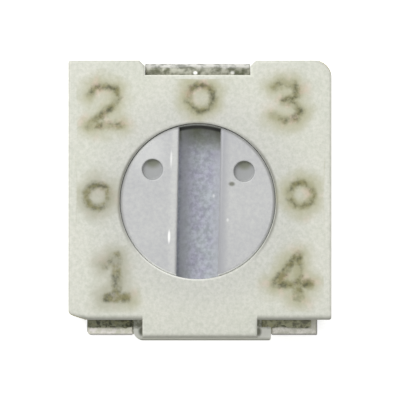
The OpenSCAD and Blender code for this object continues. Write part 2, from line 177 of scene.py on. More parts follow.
def finished_mesh(name, bm, crease=38):
    """Object from a bmesh, shaded smooth but for edges that turn by more than the crease, in degrees."""
    for face in bm.faces:
        face.smooth = True
    for edge in bm.edges:
        edge.smooth = len(edge.link_faces) == 2 and edge.calc_face_angle(0) < math.radians(crease)
    mesh = bpy.data.meshes.new(name)
    bm.to_mesh(mesh)
    bm.free()
    made = bpy.data.objects.new(name, mesh)
    bpy.context.scene.collection.objects.link(made)
    return made


def set_inputs(tree, made, **given):
    """Sets inputs of a node by name, or by number as in0 and in1, to values or wires."""
    for name, value in given.items():
        socket = made.inputs[int(name[2:]) if name[:2] == "in" else name.replace("_", " ")]
        if isinstance(value, bpy.types.NodeSocket):
            tree.links.new(value, socket)
        else:
            socket.default_value = value


def node(tree, kind, **given):
    """New node: names in lower case are its own settings, all others and in0, in1 and so on its inputs."""
    made = tree.nodes.new(kind)
    for name, value in given.items():
        if name[0].isupper() or name[:2] == "in" and name[2:].isdigit():
            set_inputs(tree, made, **{name: value})
        else:
            setattr(made, name, value)
    return made


def use_group(tree, group, **given):
    return node(tree, "ShaderNodeGroup", node_tree=group, **given)


def math_node(tree, operation, *values):
    return node(tree, "ShaderNodeMath", operation=operation,
                **{f"in{i}": v for i, v in enumerate(values)}).outputs[0]


def times(tree, first, second):
    return math_node(tree, "MULTIPLY", first, second)


def larger(tree, first, second):
    return math_node(tree, "MAXIMUM", first, second)


def ramp(tree, value, low, high, to_low=0.0, to_high=1.0):
    """A value mapped smoothly from low..high to to_low..to_high, and held at the ends."""
    return node(tree, "ShaderNodeMapRange", interpolation_type="SMOOTHSTEP", in0=value, in1=low, in2=high,
                in3=to_low, in4=to_high).outputs[0]


def mixed(tree, amount, first, second):
    return node(tree, "ShaderNodeMix", data_type="RGBA", in0=amount, in6=first, in7=second).outputs[2]


def noise(tree, at, scale, detail=3.0, rough=0.55, seed=0.0):
    """Noise from 0 to 1 over a place in millimetres."""
    return node(tree, "ShaderNodeTexNoise", noise_dimensions="4D", Vector=at, W=seed, Scale=scale,
                Detail=detail, Roughness=rough).outputs["Fac"]


def place_in_mm(tree):
    coordinates = node(tree, "ShaderNodeTexCoord").outputs["Object"]
    return node(tree, "ShaderNodeVectorMath", operation="SCALE", in0=coordinates, Scale=1 / MM).outputs[0]


def axes(tree, place):
    """The x, y and z of a place."""
    return node(tree, "ShaderNodeSeparateXYZ", in0=place).outputs[:3]


def from_the_axis(tree, place):
    """Distance of a place from the rotor's axis."""
    flat = node(tree, "ShaderNodeVectorMath", operation="MULTIPLY", in0=place, in1=(1, 1, 0)).outputs[0]
    return node(tree, "ShaderNodeVectorMath", operation="LENGTH", in0=flat).outputs["Value"]


def bump_of(tree, height, strength, depth):
    """Normal that follows a height, which stands for a depth in metres."""
    return node(tree, "ShaderNodeBump", Strength=strength, Distance=depth, Height=height).outputs[0]


def new_group(name, takes, gives):
    """Shader node group with inputs given as (name, kind, value) and outputs as (name, kind)."""
    tree = bpy.data.node_groups.new(name, "ShaderNodeTree")
    kinds = {"value": "NodeSocketFloat", "vector": "NodeSocketVector"}
    for label, kind, value in takes:
        socket = tree.interface.new_socket(label, in_out="INPUT", socket_type=kinds[kind])
        if value is not None:
            socket.default_value = value
    for label, kind in gives:
        tree.interface.new_socket(label, in_out="OUTPUT", socket_type=kinds[kind])
    return tree, tree.nodes.new("NodeGroupInput"), tree.nodes.new("NodeGroupOutput")


def new_material(name):
    """Material with one Principled shader and nothing else; gives the material, its tree and the shader."""
    material = bpy.data.materials.new(name)
    material.use_nodes = True
    tree = material.node_tree
    tree.nodes.clear()
    shader = tree.nodes.new("ShaderNodeBsdfPrincipled")
    tree.links.new(shader.outputs[0], tree.nodes.new("ShaderNodeOutputMaterial").inputs["Surface"])
    return material, tree, shader


# Fine grain and broad unevenness of a moulded plastic skin
moulded_skin, takes, gives = new_group(
    "moulded_skin", [("Place", "vector", None), ("Seed", "value", 0.0), ("Grain", "value", 0.5)],
    [("Broad", "value"), ("Fine", "value"), ("Normal", "vector")])
broad = noise(moulded_skin, takes.outputs["Place"], 1.3, 4.0, 0.6, takes.outputs["Seed"])
fine = noise(moulded_skin, takes.outputs["Place"], 11.0, 4.0, 0.65, takes.outputs["Seed"])
grain = noise(moulded_skin, takes.outputs["Place"], 38.0, 3.0, 0.6, takes.outputs["Seed"])
set_inputs(moulded_skin, gives, Broad=broad, Fine=fine,
           Normal=bump_of(moulded_skin, grain, takes.outputs["Grain"], 0.000004))

corners = [
    (LEFT, BACK, CORNER_R), (LEFT, FRONT + SLOPE_Y, SLOPE_R), (LEFT + SLOPE_X, FRONT), (LUG_LEFT, FRONT),
    (LUG_LEFT, LUG_FRONT, LUG_R), (LUG_RIGHT, LUG_FRONT, LUG_R), (LUG_RIGHT, FRONT),
    (RIGHT, FRONT, CORNER_R), (RIGHT, BACK, BACK_RIGHT_R), (NOTCH_HALF + NOTCH_CHAMFER, BACK),
    (NOTCH_HALF, BACK - NOTCH_CHAMFER), (NOTCH_HALF, NOTCH_FLOOR), (-NOTCH_HALF, NOTCH_FLOOR),
    (-NOTCH_HALF, BACK - NOTCH_CHAMFER), (-NOTCH_HALF - NOTCH_CHAMFER, BACK)]


def housing_outline(by):
    """The housing's outline with every side moved in by a distance, and its corners' radii less by it."""
    moved = inset([corner[:2] for corner in corners], by)
    return outline([at + tuple(max(r - by, 0.002) for r in corner[2:])
                    for at, corner in zip(moved, corners)])


housing_plan = housing_outline(0)
pocket_plan = [(CENTRE_X + side * POCKET_HALF_X, end * POCKET_HALF_Y)
               for side, end in ((-1, -1), (1, -1), (1, 1), (-1, 1))]


def clipped(plan, low, high):
    """A convex outline cut down to a box in plan."""
    for axis, limit, sign in ((0, low[0], 1), (1, low[1], 1), (0, high[0], -1), (1, high[1], -1)):
        kept = []
        for here, after in zip(plan, plan[1:] + plan[:1]):
            d0, d1 = sign * (here[axis] - limit), sign * (after[axis] - limit)
            if d0 >= 0:
                kept.append(here)
            if d0 * d1 < 0:
                t = d0 / (d0 - d1)
                kept.append((here[0] + t * (after[0] - here[0]), here[1] + t * (after[1] - here[1])))
        plan = kept
    return plan


# The chamber's wall runs from one side of the stop rib round to the other. Over each solder joint and the
# film that leads to it, a shallow room opens from the chamber into the pocket's corner.
chamber_plan, open_plan, rooms = [], [], []
room_low = (CENTRE_X - POCKET_HALF_X + ROOM_CLEAR, -POCKET_HALF_Y + ROOM_CLEAR)
room_high = (CENTRE_X + POCKET_HALF_X - ROOM_CLEAR, POCKET_HALF_Y - ROOM_CLEAR)
last = -90 + STOP_HALF
for joint in SOLDER_JOINTS:
    along = Vector(joint).normalized()
    across = Vector((-along.y, along.x)) * ROOM_HALF
    reach = math.sqrt(CHAMBER_R ** 2 - ROOM_HALF ** 2)
    middle = math.degrees(math.atan2(along.y, along.x)) % 360
    half = math.degrees(math.asin(ROOM_HALF / CHAMBER_R))
    first_turn = middle - half if middle - half < 270 - STOP_HALF else middle - half - 360
    room = clipped([tuple(along * reach - across), tuple(along * ROOM_FAR - across),
                    tuple(along * ROOM_FAR + across), tuple(along * reach + across)], room_low, room_high)
    at = min(range(len(room)), key=lambda i: (Vector(room[i]) - along * reach + across).length)
    room = room[at:] + room[:at]
    before = circle(CHAMBER_R, start=last, end=first_turn)
    behind = circle(CHAMBER_R, start=first_turn, end=first_turn + 2 * half)
    chamber_plan += before[:-1] + behind[:-1]
    open_plan += before[:-1] + room[:-1]
    rooms.append(room + behind[::-1][1:-1])
    last = first_turn + 2 * half
closing = (circle(CHAMBER_R, start=last, end=270 - STOP_HALF)
           + circle(STOP_R, start=270 - STOP_HALF, end=270 + STOP_HALF))
chamber_plan += closing
open_plan += closing

# Strokes of the dial, as lines of points on the housing's top
strokes = [[(x + height * u, y + height * v) for u, v in line]
           for number, (x, y), height in DIAL_NUMBERS for line in DIAL_STROKES[number]]
for middle, r in DIAL_RINGS:
    strokes.append(circle(r, middle, start=0, end=359.9, step=15))
stroke_ends = np.array([a + b for line in strokes for a, b in zip(line, line[1:])])


def stroke_distance(points):
    """Distance of each point from the nearest stroke."""
    p = np.asarray(points)[:, None, :]
    a, b = stroke_ends[None, :, :2], stroke_ends[None, :, 2:]
    t = np.clip(((p - a) * (b - a)).sum(2) / ((b - a) ** 2).sum(2), 0, 1)
    return np.linalg.norm(p - a - t[..., None] * (b - a), axis=2).min(1)


# The top face has a fine grid under the print and a coarse one elsewhere
def grid(step):
    xs, ys = np.meshgrid(np.arange(LEFT, RIGHT, step), np.arange(LUG_FRONT, BACK, step))
    return np.column_stack([xs.ravel(), ys.ravel()])


edge_room = inset(housing_plan, HOUSING_EDGE * (1 + HEM) + EDGE_CLEAR)
close = grid(PRINT_STEP)
close = close[stroke_distance(close) < PRINT_REACH]
loose = grid(LOOSE_STEP)
loose = loose[stroke_distance(loose) >= PRINT_REACH + 0.01]
spots = np.vstack([close, loose])
spots = spots[inside_plan(spots, edge_room) & (np.hypot(*spots.T) > BORE_R + BORE_CLEAR)]

outer = [(housing_plan, HOUSING_BOTTOM)] + rim(housing_outline, HOUSING_TOP, HOUSING_EDGE)
bore_plan = circle(BORE_R, BORE_MIDDLE)
bore = [(bore_plan, GLAND_TOP)] + rim(bore_plan, HOUSING_TOP, BORE_EDGE, side=-1)
gland_plan = circle(GLAND_R)
housing = solid("housing_moulding", [
    outer, bore,
    [(gland_plan, CHAMBER_TOP), (gland_plan, GLAND_TOP)],
    [(chamber_plan, ROOM_TOP), (chamber_plan, CHAMBER_TOP)],
    [(open_plan, POCKET_TOP), (open_plan, ROOM_TOP)],
    [(pocket_plan, HOUSING_BOTTOM), (pocket_plan, POCKET_TOP)],
], [
    (HOUSING_TOP, [outer[-1][0], bore[-1][0]], [tuple(p) for p in spots]),
    (GLAND_TOP, [gland_plan, bore_plan], []),
    (CHAMBER_TOP, [chamber_plan, gland_plan], []),
    (POCKET_TOP, [pocket_plan, open_plan], []),
    (HOUSING_BOTTOM, [housing_plan, pocket_plan], []),
] + [(ROOM_TOP, [room], []) for room in rooms])

# A node tree stores the distance from these lines on the housing's mesh, and the ink follows it
print_lines = bpy.data.objects.new("print_lines", bpy.data.meshes.new("print_lines"))
line_points, line_edges = [], []
for line in strokes:
    line_edges += [(len(line_points) + i, len(line_points) + i + 1) for i in range(len(line) - 1)]
    line_points += [(x * MM, y * MM, HOUSING_TOP * MM) for x, y in line]
print_lines.data.from_pydata(line_points, line_edges, [])
bpy.context.scene.collection.objects.link(print_lines)


def new_geometry(name, takes):
    """Geometry node group with a mesh in and out, and further inputs given as (name, kind)."""
    tree = bpy.data.node_groups.new(name, "GeometryNodeTree")
    kinds = {"object": "NodeSocketObject", "material": "NodeSocketMaterial"}
    tree.interface.new_socket("Mesh", in_out="INPUT", socket_type="NodeSocketGeometry")
    ids = {label: tree.interface.new_socket(label, in_out="INPUT", socket_type=kinds[kind]).identifier
           for label, kind in takes}
    tree.interface.new_socket("Mesh", in_out="OUTPUT", socket_type="NodeSocketGeometry")
    return tree, ids, tree.nodes.new("NodeGroupInput"), tree.nodes.new("NodeGroupOutput")


def apply_tree(piece, tree, ids, values):
    """Runs a geometry tree on a piece and keeps the result as its plain mesh."""
    modifier = piece.modifiers.new(tree.name, "NODES")
    modifier.node_group = tree
    for label, value in values.items():
        modifier[ids[label]] = value
    kept = bpy.data.meshes.new_from_object(piece.evaluated_get(bpy.context.evaluated_depsgraph_get()))
    kept.name = piece.name
    piece.modifiers.clear()
    piece.data = kept


# Mask that is 1 at a middle and falls softly to 0 at a reach along x, y and z
soft_spot, takes, gives = new_group(
    "soft_spot", [("Place", "vector", None), ("Middle", "vector", (0, 0, 0)), ("Reach", "vector", (1, 1, 1)),
                  ("Core", "value", 0.4)], [("Mask", "value")])
away = node(soft_spot, "ShaderNodeVectorMath", operation="SUBTRACT", in0=takes.outputs["Place"],
            in1=takes.outputs["Middle"]).outputs[0]
away = node(soft_spot, "ShaderNodeVectorMath", operation="DIVIDE", in0=away,
            in1=takes.outputs["Reach"]).outputs[0]
away = node(soft_spot, "ShaderNodeVectorMath", operation="LENGTH", in0=away).outputs["Value"]
set_inputs(soft_spot, gives, Mask=ramp(soft_spot, away, takes.outputs["Core"], 1.0, 1.0, 0.0))


def spot(tree, place, middle, reach, core=0.3):
    """Soft mask over a place."""
    return use_group(tree, soft_spot, Place=place, Middle=middle, Reach=reach, Core=core).outputs[0]


housing_material, tree, shader = new_material("housing_plastic")
place = place_in_mm(tree)
x, y, z = axes(tree, place)
from_axis = from_the_axis(tree, place)
skin = use_group(tree, moulded_skin, Place=place, Seed=3.0, Grain=0.35)

# Ink and stain, both by the distance from the printed lines; the front half is printed a little wider
ink_mm = times(tree, node(tree, "ShaderNodeAttribute", attribute_name="ink_distance").outputs["Fac"], 1 / MM)
ragged = math_node(tree, "MULTIPLY_ADD", noise(tree, place, 13.0, 3.0, 0.6, 5.0), 0.13, -0.065)
front_half = ramp(tree, y, -1.2, -0.8, 1.0, 0.0)
ink_near = math_node(tree, "ADD", ink_mm, math_node(tree, "MULTIPLY_ADD", front_half, -0.02, ragged))
ink_left = ramp(tree, noise(tree, place, 4.2, 3.0, 0.65, 2.0), 0.36, 0.60, 0.28, 1.0)
ink = times(tree, ramp(tree, ink_near, 0.0, 0.125, 1.0, 0.0), ink_left)
left_marks = spot(tree, place, (-1.75, -0.75, 2.7), (0.9, 1.9, 9.0), 0.6)
stain_reach = math_node(tree, "MULTIPLY_ADD", noise(tree, place, 3.4, 3.0, 0.6, 7.0), 0.36, -0.18)
stain_reach = math_node(tree, "MULTIPLY_ADD", front_half, -0.04, stain_reach)
stain_reach = math_node(tree, "MULTIPLY_ADD", left_marks, -0.015, stain_reach)
stain = ramp(tree, math_node(tree, "ADD", ink_mm, stain_reach), 0.0, 0.39, 1.0, 0.0)

# Plastic: duller round the hole, painted shade along the back and left rims, dirt and painted shade along
# the front rims, painted shade in the hole's rim at its back and sides, painted light on that rim in front
plastic = mixed(tree, ramp(tree, skin.outputs["Broad"], 0.35, 0.65), rgb(208, 211, 196), rgb(219, 219, 207))
plastic = mixed(tree, ramp(tree, from_axis, 1.55, 2.45, 0.75, 0.0), plastic, rgb(180, 181, 179))
plastic = mixed(tree, ramp(tree, skin.outputs["Fine"], 0.38, 0.68, 0.0, 0.5), plastic, rgb(201, 203, 192))
# Painted shade: the rounded back and left rims are painted darker
on_rim = times(tree, ramp(tree, z, 2.694, 2.6995, 1.0, 0.0), ramp(tree, z, 2.60, 2.66))
back_and_left_rims = larger(tree, ramp(tree, y, 2.50, 2.60), ramp(tree, x, -2.43, -2.38, 1.0, 0.0))
rim_painted_shade = times(tree, times(tree, on_rim, back_and_left_rims), 0.75)
plastic = mixed(tree, rim_painted_shade, plastic, rgb(176, 176, 167))
# Darker towards the front; along the front rims, dirt together with painted shade
plastic = mixed(tree, ramp(tree, y, -2.6, -1.8, 0.6, 0.0), plastic, rgb(192, 194, 183))
speck = ramp(tree, noise(tree, place, 13.0, 3.0, 0.7, 6.0), 0.32, 0.68)
plastic = mixed(tree, 0.45, plastic, mixed(tree, speck, rgb(198, 201, 188), rgb(231, 230, 221)))
from_middle = math_node(tree, "ABSOLUTE", math_node(tree, "SUBTRACT", x, CENTRE_X))
lug_half = (LUG_RIGHT - LUG_LEFT) / 2
on_lug = ramp(tree, from_middle, lug_half - 0.005, lug_half, 1.0, 0.0)
from_front = math_node(tree, "ADD", math_node(tree, "MULTIPLY_ADD", on_lug, 0.355, -FRONT), y)
from_front = math_node(tree, "MULTIPLY_ADD", noise(tree, place, 9.0, 3.0, 0.6, 10.0), 0.024, from_front)
front_dirt_and_shade = times(tree, ramp(tree, from_front, 0.02, 0.13, 1.0, 0.0), ramp(tree, z, 2.58, 2.66))
plastic = mixed(tree, times(tree, front_dirt_and_shade, 0.7), plastic, rgb(112, 112, 100))
# Painted shade in the gap round the hole, at its back and sides, where the bore's wall turns from the light
beside = ramp(tree, math_node(tree, "ABSOLUTE", x), 0.40, 1.45, 0.0, 0.85)
to_right = larger(tree, x, 0.0)
behind = ramp(tree, math_node(tree, "MULTIPLY_ADD", to_right, 0.45, y), -1.35, 0.2)
at_hole = times(tree, ramp(tree, from_axis, 1.484, 1.500), ramp(tree, from_axis, 1.50, 1.56, 1.0, 0.0))
plastic = mixed(tree, times(tree, times(tree, beside, behind), at_hole), plastic, rgb(122, 122, 112))
# Painted light on the front of the hole's rim, where the bore's wall faces the light
painted_light_front = times(tree, ramp(tree, y, -1.3, -0.6, 0.8, 0.0), ramp(tree, x, -0.2, 0.6, 1.0, 0.0))
painted_light_front = times(tree, ramp(tree, from_axis, 1.49, 1.51, 1.0, 0.0), painted_light_front)
plastic = mixed(tree, painted_light_front, plastic, rgb(242, 243, 236))

pink = ramp(tree, noise(tree, place, 3.0, 4.0, 0.6, 9.0), 0.5, 0.66)
warm = mixed(tree, pink, rgb(170, 168, 130), rgb(200, 178, 152))
warm = mixed(tree, times(tree, left_marks, 0.7), warm, rgb(172, 172, 158))
stain = times(tree, stain, math_node(tree, "MULTIPLY_ADD", left_marks, 0.08, 0.78))
plastic = mixed(tree, stain, plastic, warm)
ink_colour = mixed(tree, ramp(tree, noise(tree, place, 8.0, 3.0, 0.6, 4.0), 0.36, 0.62), rgb(62, 64, 34),
                   rgb(124, 120, 76))
set_inputs(tree, shader, Base_Color=mixed(tree, times(tree, ink, 0.9), plastic, ink_colour), Roughness=0.62,
           Normal=skin.outputs["Normal"])

print_tree, print_ids, takes, gives = new_geometry(
    "dial_print", [("Print", "object"), ("Material", "material")])
lines = node(print_tree, "GeometryNodeObjectInfo", Object=takes.outputs["Print"])
near = node(print_tree, "GeometryNodeProximity", target_element="EDGES", in0=lines.outputs["Geometry"])
stored = node(print_tree, "GeometryNodeStoreNamedAttribute", data_type="FLOAT", domain="POINT",
              Geometry=takes.outputs["Mesh"], Name="ink_distance", Value=near.outputs["Distance"])
coated = node(print_tree, "GeometryNodeSetMaterial", Geometry=stored.outputs[0],
              Material=takes.outputs["Material"])
set_inputs(print_tree, gives, Mesh=coated.outputs[0])
apply_tree(housing, print_tree, print_ids, {"Print": print_lines, "Material": housing_material})
bpy.data.objects.remove(print_lines)
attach(housing, "case")
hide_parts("housing")


# Rotor: moulded in one light grey plastic, with the slot for the screwdriver, two dimples that mark its back
# half, and the flange that the roof holds down. Its face is satin from the mould and a little scuffed.
NECK_R, FLANGE_R, TAB_R, TAB_HALF = 1.4735, 1.75, 1.89, 20.0
FLANGE_BOTTOM, FLANGE_TOP, SLOT_FLOOR, ROTOR_TOP = 1.48, 1.73, 2.11, 2.67
SLOT_LEFT, SLOT_RIGHT = -0.376, 0.410
DIMPLE_R, DIMPLE_AT, DIMPLE_TURN, DIMPLE_FLOOR = 0.198, 1.05, 56.0, 2.59
DIMPLE_LIP, REST_TURN, ROTOR_EDGE = 0.024, -1.2, 0.055
STUD_AT, STUD_Y, STUD_R, HEAD_R, HEAD_BOTTOM, HEAD_TOP = 0.62, -0.80, 0.13, 0.21, 1.35, 1.42
# Rounded floors, as steps in from the wall and up from the floor: a dimple's, and a stud's riveted head
DIMPLE_ROUNDING = [(0.035, 0.0), (0.02, 0.003), (0.006, 0.014), (0.0, 0.032)]
HEAD_ROUNDING = [(0.06, 0.0), (0.035, 0.002), (0.012, 0.022)]


def turned(loop):
    """A loop that stands as the rotor does at rest."""
    c, s = math.cos(math.radians(REST_TURN)), math.sin(math.radians(REST_TURN))
    return [(c * x - s * y, s * x + c * y) for x, y in loop]


def neck_arc(start, end):
    """Points on the neck that keep clear of its corners with the slot, so that its edge can be rounded."""
    return (circle(NECK_R, start=start, end=start + 1)[:1] + circle(NECK_R, start=start + 4.5, end=end - 4.5)
            + circle(NECK_R, start=end - 1, end=end)[-1:])


right_edge, left_edge = (math.degrees(math.acos(x / NECK_R)) for x in (SLOT_RIGHT, SLOT_LEFT))
right_half = turned(neck_arc(-right_edge, right_edge))
left_half = turned(neck_arc(left_edge, 360 - left_edge))
back_end = turned(neck_arc(right_edge, left_edge))
front_end = turned(neck_arc(360 - left_edge, 360 - right_edge))
slot_plan = back_end + front_end
neck_plan = right_half + back_end[1:-1] + left_half + front_end[1:-1]
flange_plan = turned(circle(TAB_R, start=90 - TAB_HALF, end=90 + TAB_HALF)
                     + circle(FLANGE_R, start=90 + TAB_HALF, end=450 - TAB_HALF))
stacks = [[(neck_plan, FLANGE_TOP), (neck_plan, SLOT_FLOOR)],
          [(flange_plan, FLANGE_BOTTOM), (flange_plan, FLANGE_TOP)]]
flats = [(FLANGE_TOP, [flange_plan, neck_plan], []), (SLOT_FLOOR, [slot_plan], [])]
for half, side in ((right_half, 1), (left_half, -1)):
    edge = [(half, SLOT_FLOOR)] + rim(half, ROTOR_TOP, ROTOR_EDGE)
    turn = math.radians(90 - side * DIMPLE_TURN + REST_TURN)
    dimple = circle(DIMPLE_R, (DIMPLE_AT * math.cos(turn), DIMPLE_AT * math.sin(turn)), step=6)
    lip = rim(dimple, ROTOR_TOP, DIMPLE_LIP, side=-1)
    floor = [(inset(dimple, by), DIMPLE_FLOOR + up) for by, up in DIMPLE_ROUNDING]
    stacks += [edge, floor + lip]
    flats += [(ROTOR_TOP, [edge[-1][0], lip[-1][0]], []), (DIMPLE_FLOOR, [floor[0][0]], [])]
studs = []
for side in (-1, 1):
    at = turned([(side * STUD_AT, STUD_Y)])[0]
    stud, head = circle(STUD_R, at, step=8), circle(HEAD_R, at, step=8)
    head_stack = [(inset(head, by), HEAD_BOTTOM + up) for by, up in HEAD_ROUNDING] + [(head, HEAD_TOP)]
    studs.append(stud)
    stacks += [[(stud, HEAD_TOP), (stud, FLANGE_BOTTOM)], head_stack]
    flats += [(HEAD_TOP, [head, stud], []), (HEAD_BOTTOM, [head_stack[0][0]], [])]
flats.append((FLANGE_BOTTOM, [flange_plan] + studs, []))
rotor = solid("rotor_moulding", stacks, flats)

rotor_material, tree, shader = new_material("rotor_plastic")
place = node(tree, "ShaderNodeVectorRotate", rotation_type="Z_AXIS", Vector=place_in_mm(tree),
             Angle=math.radians(-REST_TURN)).outputs[0]
x, y, z = axes(tree, place)
from_axis = from_the_axis(tree, place)
skin = use_group(tree, moulded_skin, Place=place, Seed=11.0, Grain=0.3)

# Face: pale lip left of the slot, worn stretch right of it, painted shade along the round edge at the back
# and sides, painted light along its front
plastic = mixed(tree, ramp(tree, skin.outputs["Broad"], 0.35, 0.65), rgb(183, 184, 186), rgb(196, 197, 196))
plastic = mixed(tree, ramp(tree, skin.outputs["Fine"], 0.38, 0.7, 0.0, 0.45), plastic, rgb(185, 186, 188))
lip = times(tree, ramp(tree, x, -0.58, -0.46), ramp(tree, x, -0.43, -0.39, 1.0, 0.0))
plastic = mixed(tree, times(tree, lip, 0.45), plastic, rgb(218, 219, 214))
grain = ramp(tree, noise(tree, place, 12.0, 3.0, 0.7, 16.0), 0.32, 0.68)
plastic = mixed(tree, 0.35, plastic, mixed(tree, grain, rgb(180, 181, 184), rgb(212, 213, 208)))
worn = times(tree, ramp(tree, x, 0.39, 0.44), ramp(tree, x, 0.44, 0.64, 0.8, 0.0))
plastic = mixed(tree, worn, plastic, rgb(164, 165, 170))
# Painted shade of the gap along the round edge, stronger towards the back
painted_gap_shade = times(tree, ramp(tree, from_axis, 1.405, 1.445), ramp(tree, from_axis, 1.450, 1.468, 1.0, 0.0))
painted_gap_shade = times(tree, painted_gap_shade, ramp(tree, y, -1.35, 0.2, 0.0, 0.55))
plastic = mixed(tree, painted_gap_shade, plastic, rgb(126, 126, 122))
# Painted light on the front of the round edge, where the gap faces the light
painted_light_front = times(tree, ramp(tree, from_axis, 1.43, 1.45), ramp(tree, y, -1.3, -0.6, 0.8, 0.0))
plastic = mixed(tree, painted_light_front, plastic, rgb(238, 239, 236))
polished = spot(tree, place, (-0.98, 0.85, ROTOR_TOP), (0.50, 0.62, 1.0))
plastic = mixed(tree, times(tree, polished, 0.35), plastic, rgb(228, 229, 226))
in_dimples = times(tree, ramp(tree, from_axis, 1.30, 1.34, 1.0, 0.0),
                   ramp(tree, math_node(tree, "ABSOLUTE", x), 0.50, 0.56))
low = times(tree, ramp(tree, z, 2.60, 2.662, 1.0, 0.0), in_dimples)
plastic = mixed(tree, times(tree, low, 0.75), plastic, rgb(146, 148, 148))

# Slot: bluish scuffed floor, painted light on its left and right parts, painted olive shade that thickens to
# a painted black shadow at its back end, and past that a painted line of light
floor_tint = mixed(tree, ramp(tree, noise(tree, place, 3.5, 4.0, 0.6, 14.0), 0.35, 0.65),
                   rgb(168, 164, 188), rgb(174, 184, 184))
floor_tint = mixed(tree, 0.5, floor_tint, mixed(tree, grain, rgb(136, 137, 148), rgb(206, 208, 220)))
# Painted light: the right part of the floor, out of the left wall's shadow, is painted lighter
floor_tint = mixed(tree, ramp(tree, x, 0.20, 0.40, 0.0, 0.6), floor_tint, rgb(188, 190, 194))
# Painted shade: olive, thickening towards the back end, which the bore's wall shades
slot_back_shade = math_node(tree, "MULTIPLY_ADD", noise(tree, place, 4.0, 3.0, 0.6, 15.0), 0.5, y)
floor_tint = mixed(tree, ramp(tree, slot_back_shade, 1.15, 1.70, 0.0, 0.8), floor_tint, rgb(112, 118, 70))
# Painted light on the left part of the floor, which lies in the left wall's shadow
painted_light_left_floor = times(tree, ramp(tree, x, -0.35, -0.31), ramp(tree, x, -0.30, -0.06, 0.55, 0.0))
floor_tint = mixed(tree, painted_light_left_floor, floor_tint, rgb(196, 198, 202))
at_back = math_node(tree, "GREATER_THAN", y, 0.0)
# Painted shadow, nearly black, at the slot's back end under the bore's wall
slot_end_painted_shadow = times(tree, ramp(tree, from_axis, 1.355, 1.40, 0.0, 0.95), at_back)
floor_tint = mixed(tree, slot_end_painted_shadow, floor_tint, rgb(22, 24, 12))
# Painted light: a pale line at the back end, for the lit bore wall seen behind the slot
painted_wall_light = times(tree, ramp(tree, from_axis, 1.43, 1.465, 0.0, 0.9), at_back)
floor_tint = mixed(tree, painted_wall_light, floor_tint, rgb(238, 239, 232))
deep = ramp(tree, z, 2.2, 2.56, 1.0, 0.0)
plastic = mixed(tree, times(tree, deep, 0.95), plastic, floor_tint)

# Painted shadow in the back of each dimple, one pit, and painted glints on the face and the slot's floor
for side in (-1, 1):
    turn = math.radians(90 - side * DIMPLE_TURN)
    middle = (DIMPLE_AT * math.cos(turn), DIMPLE_AT * math.sin(turn) + 0.15, 2.6)
    painted_dimple_shadow = times(tree, spot(tree, place, middle, (0.20, 0.17, 9.0)), low)
    plastic = mixed(tree, times(tree, painted_dimple_shadow, 0.75), plastic, rgb(104, 108, 84))
pit = spot(tree, place, (0.64, 0.345, ROTOR_TOP), (0.085, 0.062, 1.0))
plastic = mixed(tree, times(tree, pit, 0.8), plastic, rgb(96, 98, 82))
# Painted highlights: two white streaks by the slot's left edge and two glints
painted_glints = larger(tree, spot(tree, place, (-0.53, -0.68, ROTOR_TOP), (0.034, 0.17, 1.0), 0.35),
                times(tree, spot(tree, place, (-0.52, 0.80, ROTOR_TOP), (0.03, 0.22, 1.0), 0.2), 0.6))
for middle in ((0.30, 0.11, SLOT_FLOOR), (0.575, -0.34, ROTOR_TOP)):
    painted_glints = larger(tree, painted_glints, times(tree, spot(tree, place, middle, (0.035, 0.05, 0.3), 0.2), 0.42))
plastic = mixed(tree, painted_glints, plastic, rgb(252, 252, 250))
set_inputs(tree, shader, Base_Color=plastic, Roughness=0.5, Normal=skin.outputs["Normal"])
rotor.data.materials.append(rotor_material)
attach(rotor, "rotor")
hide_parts("rotor")


# Base: the moulded floor, of the same plastic as the housing but a shade greyer. Only its foot shows from
# above, in front of the lug; its edges are eased by the mould.
def softened(node_name, new_name, width, crease=38):
    """Copy of a CAD node with its sharp edges eased by a small width."""
    bm = bmesh.new()
    bm.from_mesh(cad[node_name].data)
    bmesh.ops.remove_doubles(bm, verts=bm.verts, dist=0.0002 * MM)
    bmesh.ops.dissolve_limit(bm, angle_limit=math.radians(0.5), verts=bm.verts, edges=bm.edges)
    sharp = [e for e in bm.edges if len(e.link_faces) == 2 and e.calc_face_angle(0) > math.radians(crease)]
    bmesh.ops.bevel(bm, geom=sharp, offset=width * MM, segments=2, profile=0.5, affect="EDGES",
                    clamp_overlap=True)
    bmesh.ops.recalc_face_normals(bm, faces=bm.faces)
    return finished_mesh(new_name, bm)


base = softened("base", "base_moulding", 0.01)
base_material, tree, shader = new_material("base_plastic")
place = place_in_mm(tree)
x, y, z = axes(tree, place)
skin = use_group(tree, moulded_skin, Place=place, Seed=21.0, Grain=0.4)
plastic = mixed(tree, ramp(tree, skin.outputs["Broad"], 0.35, 0.65), rgb(220, 221, 210), rgb(228, 228, 219))
plastic = mixed(tree, ramp(tree, skin.outputs["Fine"], 0.35, 0.75, 0.0, 0.35), plastic, rgb(206, 208, 197))
# Painted light on the foot's top, which lies in the housing's shadow
painted_light_on_foot = times(tree, ramp(tree, z, 0.67, 0.695, 0.0, 0.9), ramp(tree, y, -2.38, -2.30, 1.0, 0.0))
painted_light_on_foot = times(tree, painted_light_on_foot, ramp(tree, y, -2.60, -2.57))
plastic = mixed(tree, painted_light_on_foot, plastic, rgb(250, 250, 245))
